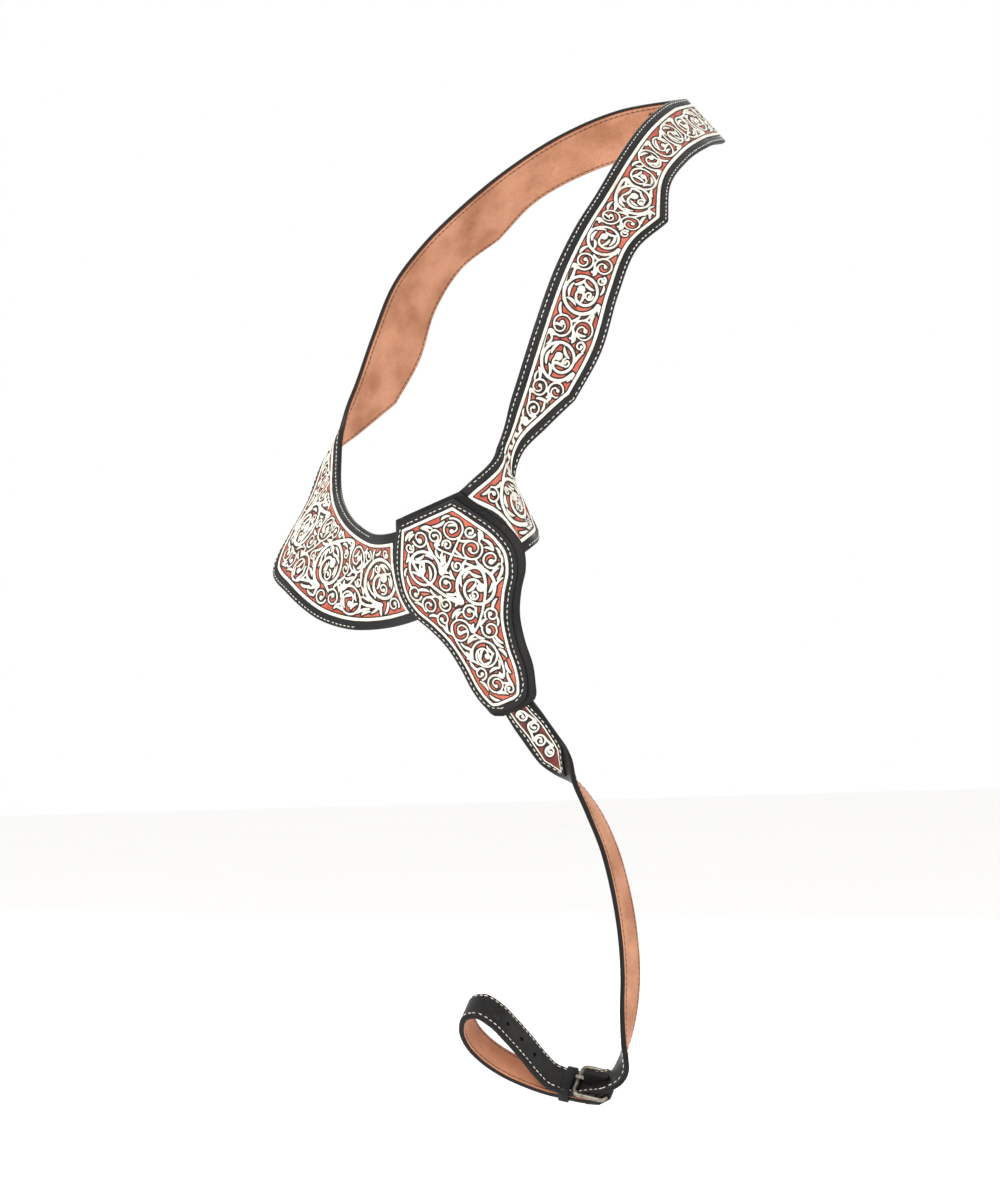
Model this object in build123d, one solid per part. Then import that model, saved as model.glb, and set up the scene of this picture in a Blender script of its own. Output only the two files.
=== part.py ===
from build123d import *
import math
import os

import numpy as np

os.makedirs("parts", exist_ok=True)

# Breastplate of a charro saddle. +Z is up, the horse faces -Y and its near side is +X.
# The origin is where the crown of the collar sits on the neck of the saddle, behind the horn.

# ---- leather, mm
face_thickness = 3.0          # tooled outer leather of the collar
lining_thickness = 2.0        # tan lining of the collar
lining_inset = 0.6            # lining stands back from the outer edge
strap_width = 28.0
strap_face_thickness = 2.5
strap_lining_thickness = 2.5
tab_thickness = 2.2           # tooled tab on the strap below the shield
tab_margin = 2.5
section_step = 11.0           # spacing of the sections along collar and strap
section_turn = 14.0           # most degrees from one section to the next

# ---- crown patch that joins the two arms over the saddle neck
patch_reach = 34.0            # along each arm from the crown
patch_thickness = 2.0
patch_margin = 9.0            # from the edges of the arms

# ---- shield on the chest
shield_top = np.array([66.0, -343.0, -359.0])
shield_across = np.array([0.848, 0.395, 0.353])
shield_down = np.array([0.228, 0.329, -0.916])
shield_bow = 150.0            # radius of its bow across the chest
shield_stand_off = 3.5        # base above the middle of the collar
shield_base_thickness = 2.5
shield_face_thickness = 3.0
shield_edge = 3.5             # leather outside the row of stitches
base_edge = 3.5               # base beyond the face
base_shift = 2.5              # base sits this far towards the near side
shield_lining_thickness = 2.0
shield_lining_top = 93.0      # just below the collar
shield_lining_bottom = 118.0
joint_gap = 2.4               # length of leather that flexes below the shield
# distance down the shield, half width of the stitched outline
shield_profile = [(0, 27), (15, 39), (38, 52), (57, 56), (76, 51), (92, 40.5), (110, 31.5),
                  (132, 26.5), (156, 24), (168, 20.5), (175, 14), (178, 6)]

# ---- buckle at the end of the girth strap
wire = 4.0
frame_length = 28.0           # heel bar to end bar, centre to centre
frame_clearance = 3.0         # strap edge to the middle of a side rail
frame_corner = 5.0
tongue_wire = 3.2
tongue_slot = 5.2
pin_clearance = 0.2
strap_clearance = 0.5
chape_thickness = 2.2
chape_reach = 8.0             # how far its legs run past the heel bar
keeper_length = 9.0
keeper_thickness = 1.8
keeper_gap = 4.6              # end bar to keeper
hole_size = 4.0
hole_pitch = 19.0

# Collar, once round: a point on the smooth inner edge, the point across from it on the scalloped
# outer edge, and whether the outer edge has a cusp there. Chest first, up the near arm, over the
# crown and down the far arm.
near_rows = [
    ((66, -343, -359), (86, -317, -428), False),
    ((97, -325, -334), (119, -293, -400), False),
    ((99, -308, -320), (118, -276, -390), False),
    ((94, -294, -309), (90, -247, -376), False),
    ((88, -285, -297), (86, -268, -332), False),
    ((91, -282, -284), (92, -265, -308), False),
    ((99, -281, -262), (106, -247, -283), False),
    ((106, -279, -244), (114, -224, -260), True),
    ((117, -269, -198), (132, -209, -219), False),
    ((120, -249, -147), (136, -193, -168), False),
    ((114, -223, -110), (132, -172, -131), False),
    ((103, -193, -80), (126, -132, -103), True),
    ((84, -154, -43), (102, -112, -70), False),
    ((60, -111, -11), (76, -72, -43), False),
    ((33, -65, 11), (44, -23, -25), False),
]
crown_row = ((0, -21, 20), (0, 23, -17), False)
far_rows = [
    ((-33, -65, 11), (-44, -23, -25), False),
    ((-62, -109, -11), (-78, -70, -43), False),
    ((-91, -150, -43), (-109, -108, -70), False),
    ((-116, -187, -80), (-139, -126, -102), True),
    ((-130, -214, -110), (-148, -163, -131), False),
    ((-141, -240, -147), (-158, -184, -168), False),
    ((-148, -258, -193), (-163, -198, -214), False),
    ((-152, -274, -238), (-168, -221, -254), True),
    ((-154, -282, -259), (-172, -260, -283), False),
    ((-152, -289, -281), (-173, -290, -304), False),
    ((-140, -299, -307), (-173, -312, -347), False),
    ((-118, -313, -333), (-170, -350, -411), False),
    ((-85, -329, -351), (-136, -358, -427), False),
    ((-45, -343, -366), (-82, -355, -452), False),
    ((-5, -351, -375), (-27, -344, -460), False),
    ((38, -349, -371), (34, -332, -450), False),
]
collar_rows = near_rows + [crown_row] + far_rows
crown_index = len(near_rows)

# Directions that the strap is laid out in: to the right, up, and out towards the near front.
side_way = np.array([0.574, 0.819, 0.0])
up_way = np.array([0.0, 0.0, 1.0])
out_way = np.array([0.819, -0.574, 0.0])


def laid(side, up, out):
    return side * side_way + up * up_way + out * out_way


def unit(vector):
    return vector / np.linalg.norm(vector)


# The loop at the end of the girth strap lies square to this axis, with the buckle in it.
loop_axis = unit(laid(-0.30, -0.62, 0.725))
buckle_centre = laid(-101.0, -849.0, 252.0)
buckle_across = loop_axis
level = laid(0.978, -0.208, 0.227)
buckle_along = unit(level - np.dot(level, loop_axis) * loop_axis)
buckle_out = np.cross(buckle_across, buckle_along)
heel = frame_length / 2
strap_half = (strap_face_thickness + strap_lining_thickness) / 2
over_heel = wire / 2 + chape_thickness + pin_clearance + strap_half + strap_clearance
under_end = -(wire / 2 + strap_half + strap_clearance)
under_run = under_end - 2 * strap_half - 2 * strap_clearance


def at_buckle(along, out, across=0.0):
    return buckle_centre + along * buckle_along + out * buckle_out + across * buckle_across


# Girth strap below the shield: points along its middle, and the way across it from its far edge
# to its near one, both as side, up, out. The first row is the bend where it starts to swing.
hang_rows = [
    ((-152, -545, 251), (0.809, 0.588, 0.0)),
    ((-139, -563, 249), (0.78, 0.58, 0.22)),
    ((-129, -575, 249), (0.56, 0.40, 0.72)),
    ((-119, -588, 250), (0.05, 0.05, 1.0)),
    ((-104, -612, 252), (-0.34, 0.0, 0.94)),
    ((-89, -645, 253), (-0.45, 0.0, 0.89)),
    ((-79, -681, 253), (-0.50, 0.0, 0.87)),
    ((-72.5, -719, 252), (-0.52, 0.0, 0.86)),
    ((-70, -755, 252), (-0.52, 0.0, 0.86)),
    ((-71.5, -787, 252), (-0.44, 0.0, 0.90)),
    ((-74, -812, 253), (-0.18, 0.0, 0.98)),
    ((-77, -830, 255), (0.12, -0.10, 0.98)),
    ((-82, -840.5, 259.5), (0.0, -0.55, 0.83)),
]
# The run through the buckle, then out and round the loop, and back: along the buckle and out of it.
loop_rows = [(heel - 2, over_heel), (0, (over_heel + under_end) / 2), (-heel, under_end),
             (-heel - 14, under_end),
             (-38, -2.5), (-48, 7), (-61, 24), (-76, 42), (-90, 56), (-103, 62), (-112.5, 57), (-116, 42),
             (-110.5, 24), (-98, 10), (-80, -1), (-60, -7.5),
             (-38, under_run), (-heel - 11, under_run), (-heel, under_run),
             (-heel + 12, under_run + 1.2), (-heel + 20, under_run + 3.4)]
strap_rows = [(laid(*place), laid(*across)) for place, across in hang_rows]
strap_rows += [(at_buckle(*place), loop_axis) for place in loop_rows]
bend_point, bend_axis = strap_rows[0][0], unit(strap_rows[0][1])


def slopes(points, knots, corners, closed):
    """Tangent before and after each point: equal on a smooth point, one-sided on a corner."""
    count = len(points)
    chord = [(points[(i + 1) % count] - points[i]) / (knots[i + 1] - knots[i])
             for i in range(count if closed else count - 1)]
    before, after = [], []
    for i in range(count):
        first = not closed and i == 0
        last = not closed and i == count - 1
        left = chord[0] if first else chord[i - 1]
        right = chord[-1] if last else chord[i]
        before_gap = knots[i] - knots[i - 1] if i > 0 else knots[count] - knots[count - 1] if closed else 1.0
        after_gap = knots[i + 1] - knots[i] if not last else 1.0
        smooth = (left * after_gap + right * before_gap) / (before_gap + after_gap)
        before.append(left if corners[i] else smooth)
        after.append(right if corners[i] else smooth)
    return before, after


class Rail:
    """Smooth curve through points, with a parameter of one unit per point."""

    def __init__(self, points, corners=None, closed=False, knots=None):
        self.points = [np.array(p, float) for p in points]
        self.closed = closed
        count = len(self.points)
        corners = corners or [False] * count
        spans = count if closed else count - 1
        if knots is None:
            knots = [0.0]
            for i in range(spans):
                gap = np.linalg.norm(self.points[(i + 1) % count] - self.points[i])
                knots.append(knots[-1] + gap)
        self.knots = knots
        self.before, self.after = slopes(self.points, knots, corners, closed)

    def at(self, where):
        count = len(self.points)
        i = int(math.floor(where))
        if not self.closed:
            i = min(max(i, 0), count - 2)
        t = where - i
        i = i % count
        gap = self.knots[i + 1] - self.knots[i]
        a, b = self.points[i], self.points[(i + 1) % count]
        da, db = self.after[i] * gap, self.before[(i + 1) % count] * gap
        return ((2 * t ** 3 - 3 * t ** 2 + 1) * a + (t ** 3 - 2 * t ** 2 + t) * da
                + (3 * t ** 2 - 2 * t ** 3) * b + (t ** 3 - t ** 2) * db)


shield_out = unit(np.cross(shield_down, shield_across))
if shield_out[1] > 0:
    shield_out = -shield_out


def shield_point(across, down, off):
    bow = across ** 2 / (2 * shield_bow)
    return shield_top + across * shield_across + down * shield_down + (off - bow) * shield_out


def shield_place(point):
    """How far across, down and off the shield's flat plane a point is."""
    offset = point - shield_top
    return np.dot(offset, shield_across), np.dot(offset, shield_down), np.dot(offset, shield_out)


def smooth_step(value):
    value = min(max(value, 0.0), 1.0)
    return value * value * (3 - 2 * value)


inner_rail = Rail([row[0] for row in collar_rows], closed=True)
outer_rail = Rail([row[1] for row in collar_rows], [row[2] for row in collar_rows], True)
strap_middle = Rail([row[0] for row in strap_rows])
strap_across = Rail([row[1] for row in strap_rows], knots=strap_middle.knots)


def collar_edges(where):
    """Inner and outer edge points; the collar lies flat against the shield where it is under it."""
    turn = (where + len(collar_rows) / 2) % len(collar_rows) - len(collar_rows) / 2
    held = smooth_step((2.0 - turn) / 1.0) if turn > 0 else smooth_step((2.4 + turn) / 1.1)
    edges = []
    for point in (inner_rail.at(where), outer_rail.at(where)):
        across, _, off = shield_place(point)
        edges.append(point - held * (off + across ** 2 / (2 * shield_bow)) * shield_out)
    return edges


def collar_frame(where):
    """Inner point, unit way across, width and outward normal of the collar."""
    inner, outer = collar_edges(where)
    width = np.linalg.norm(outer - inner)
    across = (outer - inner) / width
    step = 0.02
    middle = [sum(collar_edges(where + s)) / 2 for s in (-step, step)]
    outward = unit(np.cross(across, middle[1] - middle[0]))
    return inner, across, width, outward


def strap_frame(where):
    """Middle, unit way across and grain-side normal of the girth strap."""
    step = 0.02
    low = max(where - step, 0.0)
    high = min(where + step, len(strap_rows) - 1.0)
    along = unit(strap_middle.at(high) - strap_middle.at(low))
    across = strap_across.at(where)
    across = unit(across - np.dot(across, along) * along)
    return strap_middle.at(where), across, unit(np.cross(along, across))


def stations(rail, frame, start, end):
    """Places along a rail at every row, and between them by length and by how much it turns."""
    marks = sorted({start, end} | {float(k) for k in range(64) if start < k < end})
    places = [start]
    for a, b in zip(marks, marks[1:]):
        length = np.linalg.norm(rail.at(b) - rail.at(a))
        ends = [frame(a + 1e-3), frame(b - 1e-3)]
        turn = max(math.acos(min(1.0, abs(np.dot(ends[0][i], ends[1][i])))) for i in (1, -1))
        count = max(1, int(round(length / section_step)),
                    int(math.ceil(math.degrees(turn) / section_turn)))
        places += [a + (b - a) * (i + 1) / count for i in range(count)]
    return places


def section(corners):
    return Face(Wire.make_polygon([Vector(*c) for c in corners], close=True))


def collar_layer(start, end, low, high, inset=0.0):
    """Leather between two places on the collar, from low to high off its middle surface."""
    sections = []
    for where in stations(outer_rail, collar_frame, start, end):
        inner, across, width, outward = collar_frame(where)
        near_edge, far_edge = inner + across * inset, inner + across * (width - inset)
        sections.append(section([near_edge + outward * low, far_edge + outward * low,
                                 far_edge + outward * high, near_edge + outward * high]))
    return Solid.make_loft([s.outer_wire() for s in sections], ruled=True)


def strap_layer(start, end, low, high, half, frame=None):
    sections = []
    frame = frame or strap_frame
    for where in stations(strap_middle, frame, start, end):
        middle, across, grain = frame(where)
        sections.append(section([middle - across * half + grain * low,
                                 middle + across * half + grain * low,
                                 middle + across * half + grain * high,
                                 middle - across * half + grain * high]))
    return Solid.make_loft([s.outer_wire() for s in sections], ruled=True)


def shield_layer(low, high, margin, shift, top=None, bottom=None):
    """Bowed leather of the shield's outline, margin wider all round, cut between top and bottom."""
    rows = [(down - (margin if i == 0 else 0) + (margin if down > 170 else 0), half + margin)
            for i, (down, half) in enumerate(shield_profile)]
    profile = Rail([(d, h, 0) for d, h in rows])
    places = [profile.at(i / 2) for i in range(2 * len(rows) - 1)]
    if top is not None:
        places = [p for p in places if top < p[0] < bottom]
        ends = [np.array([d, np.interp(d, [r[0] for r in rows], [r[1] for r in rows]),
                          0]) for d in (top, bottom)]
        places = [ends[0]] + places + [ends[1]]
    columns = 16
    sections = []
    for down, half, _ in places:
        lower = [shield_point(-half + shift + 2 * half * i / columns, down,
                              low) for i in range(columns + 1)]
        upper = [shield_point(half + shift - 2 * half * i / columns, down,
                              high) for i in range(columns + 1)]
        sections.append(Wire.make_polygon([Vector(*c) for c in lower + upper], close=True))
    return Solid.make_loft(sections, ruled=True)


def buckle_plane(along=0.0, out=0.0, across=0.0):
    """Plane at the buckle: x along the strap, y across it, z out of its face."""
    origin = Vector(*at_buckle(along, out, across))
    return Plane(origin=origin, x_dir=Vector(*buckle_along), z_dir=Vector(*buckle_out))


def side_plane(across=0.0):
    """Plane square to the heel bar: x along the strap, y out of the buckle's face."""
    origin = Vector(*at_buckle(0, 0, across))
    normal = Vector(*buckle_along).cross(Vector(*buckle_out))
    return Plane(origin=origin, x_dir=Vector(*buckle_along), z_dir=normal)


def build_frame():
    half = strap_width / 2 + frame_clearance
    outline = Rectangle(frame_length, 2 * half)
    outline = fillet(outline.vertices(), frame_corner)
    path = outline.wires()[0]
    start = path @ 0
    ring = sweep(Plane(origin=start, z_dir=path % 0) * Circle(wire / 2), path=path)
    return buckle_plane() * ring


def build_tongue():
    ring_inner = wire / 2 + pin_clearance
    ring_outer = ring_inner + 1.9
    disc = Pos(heel, 0, 0) * extrude(Plane.XY * Circle(ring_outer), tongue_wire / 2 - 0.05, both=True)
    root = np.array([heel - ring_inner - 0.95, 1.2])
    tip = np.array([-heel - 2.6, wire / 2 + tongue_wire / 2 + 0.6])
    reach = tip - root
    length = float(np.linalg.norm(reach))
    angle = math.degrees(math.atan2(reach[1], reach[0]))
    arm = Pos(*root, 0) * Rot(0, 0, angle) * Rot(0, 90, 0) * Cylinder(
        tongue_wire / 2, length, align=(Align.CENTER, Align.CENTER, Align.MIN))
    bore = Pos(heel, 0, 0) * Cylinder(ring_inner, 12)
    return side_plane() * (disc + arm - bore)


def build_chape():
    """Folded leather round the heel bar, with a slot for the tongue."""
    inner = wire / 2 + pin_clearance
    outer = inner + chape_thickness
    half = strap_width / 2 - 2.0
    upper = under_run + 3.4 + strap_half + 0.35
    lower = under_run + 3.4 - strap_half - 0.55
    end = heel - chape_reach - 4
    fold = Pos(heel, 0) * (Circle(outer) - Circle(inner))
    fold -= Pos(heel - 5, 0) * Rectangle(10, 30)
    top_leg = make_face(Polyline((heel, inner), (heel, outer), (end + 3, upper + chape_thickness),
                                 (end + 3, upper), (heel, inner)))
    low_leg = make_face(Polyline((heel, -outer), (heel, -inner), (end + 5, lower),
                                 (end - 6, lower - 2.4), (end - 6, lower - 2.4 - chape_thickness),
                                 (end + 5, lower - chape_thickness), (heel, -outer)))
    profile = fold + top_leg + low_leg - Pos(heel, 0) * Circle(inner)
    chape = side_plane() * extrude(profile, half, both=True)
    slot = side_plane() * (Pos(heel + 1, 0, 0) * Box(20, 14, tongue_slot))
    return chape - slot


def build_keeper():
    high = under_end + strap_half + strap_clearance
    low = under_run - strap_half - strap_clearance
    half = strap_width / 2 + 0.7
    box = Box(keeper_length, 2 * (half + keeper_thickness), high - low + 2 * keeper_thickness)
    hole = Box(keeper_length + 2, 2 * half, high - low)
    place = buckle_plane(-heel - keeper_gap - keeper_length / 2, (high + low) / 2)
    return place * (box - hole)


def strap_cuts():
    """Slot that the tongue passes through and the spare holes along the loop."""
    cuts = [buckle_plane(1.5, 3.0) * Box(21, tongue_slot, 20)]
    start = len(hang_rows) + 5.6
    length_per_row = 22.0
    for i in range(3):
        middle, across, grain = strap_frame(start + i * hole_pitch / length_per_row)
        plane = Plane(origin=Vector(*middle), x_dir=Vector(*across), z_dir=Vector(*grain))
        cuts.append(plane * Cylinder(hole_size / 2, 12))
    return cuts


crown = float(crown_index)
round_trip = float(len(collar_rows))
strap_end = len(strap_rows) - 1.0
strap_start = joint_gap / 2 / np.linalg.norm(strap_rows[1][0] - strap_rows[0][0])
tab_end = 2.6                 # the tooled tab ends here, in rows
base_low = shield_stand_off
base_high = base_low + shield_base_thickness
sew = 0.02                    # parting of layers sewn together
layer_gap = 0.15              # parting of the bowed layers

parts = {}
parts["near_arm_face"] = collar_layer(0.0, crown, sew, face_thickness)
parts["near_arm_lining"] = collar_layer(0.0, crown, -lining_thickness, 0.0, lining_inset)
parts["far_arm_face"] = collar_layer(crown, round_trip, sew, face_thickness)
parts["far_arm_lining"] = collar_layer(crown, round_trip, -lining_thickness, 0.0, lining_inset)

# The patch lies under the lining on both sides of the crown.
patch_rows = patch_reach / 50.0
parts["crown_patch"] = collar_layer(crown - patch_rows, crown + patch_rows,
                                    -lining_thickness - layer_gap - patch_thickness, -lining_thickness - layer_gap,
                                    patch_margin)

parts["shield_base"] = shield_layer(base_low, base_high, shield_edge + base_edge, base_shift)
parts["shield_face"] = shield_layer(base_high + layer_gap, base_high + shield_face_thickness,
                                    shield_edge, 0.0)
parts["shield_lining"] = shield_layer(base_low - layer_gap - shield_lining_thickness,
                                      base_low - layer_gap,
                                      shield_edge, base_shift, shield_lining_top, shield_lining_bottom)


# The end of the strap sewn behind the shield, down to the bend below it: side and up.
anchor_run = [(-193, -479), (-182, -499), (-171, -517), (-162.5, -530)]


def behind(side, up, off):
    """Point at a distance off the shield's bowed surface."""
    outward = 252.0
    for _ in range(6):
        across, _, flat = shield_place(laid(side, up, outward))
        outward += (off - flat - across ** 2 / (2 * shield_bow)) / np.dot(out_way, shield_out)
    return laid(side, up, outward)


anchor_off = base_low - layer_gap - strap_half - 0.95
anchor_points = [behind(side, up, anchor_off) for side, up in anchor_run] + [bend_point]
anchor_middle = Rail(anchor_points + [2 * bend_point - anchor_points[-2]])
flat_across = [unit(np.cross(anchor_points[i + 1] - anchor_points[i], shield_out)) for i in range(3)]
anchor_ways = [way * np.sign(np.dot(way, bend_axis)) for way in flat_across]
anchor_ways += [unit(0.75 * anchor_ways[-1] + 0.25 * bend_axis), bend_axis, bend_axis]
anchor_across = Rail(anchor_ways, knots=anchor_middle.knots)


def anchor_frame(where):
    """Middle, unit way across and grain-side normal of the sewn end of the strap."""
    step = 0.02
    along = unit(anchor_middle.at(where + step) - anchor_middle.at(max(where - step, 0.0)))
    across = anchor_across.at(where)
    across = unit(across - np.dot(across, along) * along)
    return anchor_middle.at(where), across, unit(np.cross(along, across))


def anchor_layer(start, low, high, half):
    end = len(anchor_run) - joint_gap / 2 / np.linalg.norm(anchor_points[-1] - anchor_points[-2])
    places = [i / 4 for i in range(int(4 * start), 40) if i / 4 < end - 0.05] + [end]
    sections = []
    for where in places:
        middle, across, grain = anchor_frame(where)
        sections.append(section([middle - across * half + grain * low,
                                 middle + across * half + grain * low,
                                 middle + across * half + grain * high,
                                 middle - across * half + grain * high]))
    return Solid.make_loft([s.outer_wire() for s in sections], ruled=True)


parts["anchor_face"] = anchor_layer(0.0, sew, strap_face_thickness, strap_width / 2)
parts["anchor_lining"] = anchor_layer(0.0, -strap_lining_thickness, 0.0, strap_width / 2)
parts["anchor_tab"] = anchor_layer(3.0, strap_face_thickness + sew, strap_face_thickness + tab_thickness,
                                   strap_width / 2 - tab_margin)

half_strap = strap_width / 2
strap_face = strap_layer(strap_start, strap_end, sew, strap_face_thickness, half_strap)
strap_lining = strap_layer(strap_start, strap_end, -strap_lining_thickness, 0.0, half_strap)
for cut in strap_cuts():
    strap_face = strap_face - cut
    strap_lining = strap_lining - cut
parts["strap_face"] = strap_face
parts["strap_lining"] = strap_lining
parts["strap_tab"] = strap_layer(strap_start, tab_end, strap_face_thickness + sew,
                                 strap_face_thickness + tab_thickness, half_strap - tab_margin)
parts["strap_chape"] = build_chape()
parts["strap_keeper"] = build_keeper()
parts["buckle_frame"] = build_frame()
parts["buckle_tongue"] = build_tongue()

for name, shape in parts.items():
    export_step(shape, f"parts/{name}.step")
    print(name, round(shape.volume), len(shape.solids()))
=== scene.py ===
import bpy
import bmesh
import math
import numpy as np
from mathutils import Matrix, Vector


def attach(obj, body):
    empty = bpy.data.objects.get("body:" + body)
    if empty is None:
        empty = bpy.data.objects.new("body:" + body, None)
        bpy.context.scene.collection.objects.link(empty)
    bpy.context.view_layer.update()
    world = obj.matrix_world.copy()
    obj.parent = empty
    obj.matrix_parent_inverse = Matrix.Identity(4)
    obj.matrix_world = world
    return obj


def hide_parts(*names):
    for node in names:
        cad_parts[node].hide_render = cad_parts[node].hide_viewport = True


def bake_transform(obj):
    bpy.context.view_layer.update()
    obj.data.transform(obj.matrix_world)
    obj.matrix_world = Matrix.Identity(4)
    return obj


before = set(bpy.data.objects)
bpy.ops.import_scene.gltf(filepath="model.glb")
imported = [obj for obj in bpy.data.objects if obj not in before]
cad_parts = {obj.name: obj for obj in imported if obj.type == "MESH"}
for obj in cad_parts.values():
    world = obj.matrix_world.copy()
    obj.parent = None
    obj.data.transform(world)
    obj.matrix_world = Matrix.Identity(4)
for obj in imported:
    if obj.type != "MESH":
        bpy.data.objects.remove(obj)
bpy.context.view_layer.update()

# what a user would change, in mm unless noted
collar = {"faceThickness": 3.0, "liningThickness": 2.0, "liningInset": 0.6, "spacing": 1.05,
          "border": 7.6, "bead": 3.0, "groove": 0.9, "relief": 0.8}
shield = {"top": (66, -343, -359), "across": (0.848, 0.395, 0.353), "down": (0.228, 0.329, -0.916),
          "bow": 150.0, "off": 3.5, "baseThickness": 2.5, "faceThickness": 3.0, "edge": 3.5,
          "baseEdge": 3.5, "baseShift": 2.5, "liningTop": 93.0, "liningBottom": 118.0,
          "profile": [(0, 27), (15, 39), (38, 52), (57, 56), (76, 51), (92, 40.5), (110, 31.5),
                      (132, 26.5), (156, 24), (168, 20.5), (175, 14), (178, 6)]}
strap = {"width": 28.0, "face": 2.5, "lining": 2.5, "tab": 2.2, "tabMargin": 2.5, "slot": 5.2,
         "hole": 4.0, "holePitch": 19.0, "sewnFrom": 170.0}
buckle = {"wire": 4.0, "length": 28.0, "clearance": 0.5, "chape": 2.2,
          "keeperLength": 9.0, "keeperThickness": 1.8, "keeperGap": 4.6}
thread = {"length": 3.5, "pitch": 5.0, "thickness": 0.9, "inset": 2.8, "seed": 7}
colours = {"ground": "#D6715A", "groundDark": "#A8452F", "ivory": "#E9E5D9", "outline": "#17120F",
           "black": "#0B0B0C", "tan": "#C88F70", "tanDark": "#A06A4B", "tabGround": "#8E3A2B",
           "thread": "#E6E1D4", "darkThread": "#3A2A20", "nickel": "#8E877C"}

# collar once round: inner edge, outer edge, cusp; chest, near arm, crown, far arm
nearRows = [((66, -343, -359), (86, -317, -428), 0), ((97, -325, -334), (119, -293, -400), 0),
            ((99, -308, -320), (118, -276, -390), 0), ((94, -294, -309), (90, -247, -376), 0),
            ((88, -285, -297), (86, -268, -332), 0), ((91, -282, -284), (92, -265, -308), 0),
            ((99, -281, -262), (106, -247, -283), 0), ((106, -279, -244), (114, -224, -260), 1),
            ((117, -269, -198), (132, -209, -219), 0), ((120, -249, -147), (136, -193, -168), 0),
            ((114, -223, -110), (132, -172, -131), 0), ((103, -193, -80), (126, -132, -103), 1),
            ((84, -154, -43), (102, -112, -70), 0), ((60, -111, -11), (76, -72, -43), 0),
            ((33, -65, 11), (44, -23, -25), 0)]
farRows = [((-33, -65, 11), (-44, -23, -25), 0), ((-62, -109, -11), (-78, -70, -43), 0),
           ((-91, -150, -43), (-109, -108, -70), 0), ((-116, -187, -80), (-139, -126, -102), 1),
           ((-130, -214, -110), (-148, -163, -131), 0), ((-141, -240, -147), (-158, -184, -168), 0),
           ((-148, -258, -193), (-163, -198, -214), 0), ((-152, -274, -238), (-168, -221, -254), 1),
           ((-154, -282, -259), (-172, -260, -283), 0), ((-152, -289, -281), (-173, -290, -304), 0),
           ((-140, -299, -307), (-173, -312, -347), 0), ((-118, -313, -333), (-170, -350, -411), 0),
           ((-85, -329, -351), (-136, -358, -427), 0), ((-45, -343, -366), (-82, -355, -452), 0),
           ((-5, -351, -375), (-27, -344, -460), 0), ((38, -349, -371), (34, -332, -450), 0)]
collarRows = nearRows + [((0, -21, 20), (0, 23, -17), 0)] + farRows
crown, roundTrip = float(len(nearRows)), float(len(collarRows))
sideWay, upWay, outWay = (np.array(v) for v in ((0.574, 0.819, 0.0), (0.0, 0.0, 1.0), (0.819, -0.574, 0.0)))


def laid(side, up, out):
    return side * sideWay + up * upWay + out * outWay


def unit(v):
    return v / np.linalg.norm(v)


def linked(obj):
    bpy.context.scene.collection.objects.link(obj)
    return obj


def smoothStep(v):
    v = np.clip(v, 0.0, 1.0)
    return v * v * (3 - 2 * v)


def linear(code):  # sRGB hex to linear colour
    parts = [int(code[i:i + 2], 16) / 255 for i in (1, 3, 5)]
    return tuple(c / 12.92 if c <= 0.04045 else ((c + 0.055) / 1.055) ** 2.4 for c in parts) + (1.0,)


class Rail:
    def __init__(self, points, corners=None, closed=False, knots=None):
        self.points, self.closed = [np.array(p, float) for p in points], closed
        count = len(self.points)
        corners = corners or [0] * count
        spans = count if closed else count - 1
        if knots is None:
            knots = [0.0]
            for i in range(spans):
                knots.append(knots[-1] + np.linalg.norm(self.points[(i + 1) % count] - self.points[i]))
        self.knots = knots
        chord = [(self.points[(i + 1) % count] - self.points[i]) / (knots[i + 1] - knots[i])
                 for i in range(spans)]
        self.before, self.after = [], []
        for i in range(count):
            first, last = not closed and i == 0, not closed and i == count - 1
            left, right = chord[0] if first else chord[i - 1], chord[-1] if last else chord[i]
            gapA = knots[i] - knots[i - 1] if i > 0 else knots[count] - knots[count - 1] if closed else 1.0
            gapB = knots[i + 1] - knots[i] if not last else 1.0
            smooth = (left * gapB + right * gapA) / (gapA + gapB)
            self.before.append(left if corners[i] else smooth)
            self.after.append(right if corners[i] else smooth)

    def at(self, where):
        count, i = len(self.points), int(math.floor(where))
        if not self.closed:
            i = min(max(i, 0), count - 2)
        t, i = where - i, i % count
        gap = self.knots[i + 1] - self.knots[i]
        a, b = self.points[i], self.points[(i + 1) % count]
        da, db = self.after[i] * gap, self.before[(i + 1) % count] * gap
        return ((2 * t ** 3 - 3 * t ** 2 + 1) * a + (t ** 3 - 2 * t ** 2 + t) * da
                + (3 * t ** 2 - 2 * t ** 3) * b + (t ** 3 - t ** 2) * db)


# shield surface
shieldTop, shieldAcross, shieldDown = (np.array(shield[k], float) for k in ("top", "across", "down"))
shieldOut = unit(np.cross(shieldDown, shieldAcross))
shieldOut = -shieldOut if shieldOut[1] > 0 else shieldOut


def shieldPoint(across, down, off):
    across, down, off = (np.asarray(v, float)[..., None] for v in (across, down, off))
    raised = off - across ** 2 / (2 * shield["bow"])
    return shieldTop + across * shieldAcross + down * shieldDown + raised * shieldOut


# collar surface
innerRail = Rail([row[0] for row in collarRows], closed=True)
outerRail = Rail([row[1] for row in collarRows], [row[2] for row in collarRows], True)


def collarEdges(where):
    turn = (where + roundTrip / 2) % roundTrip - roundTrip / 2
    held = float(smoothStep(2.0 - turn) if turn > 0 else smoothStep((2.4 + turn) / 1.1))
    edges = []
    for point in (innerRail.at(where), outerRail.at(where)):
        offset = point - shieldTop
        across, off = np.dot(offset, shieldAcross), np.dot(offset, shieldOut)
        edges.append(point - held * (off + across ** 2 / (2 * shield["bow"])) * shieldOut)
    return edges


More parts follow.
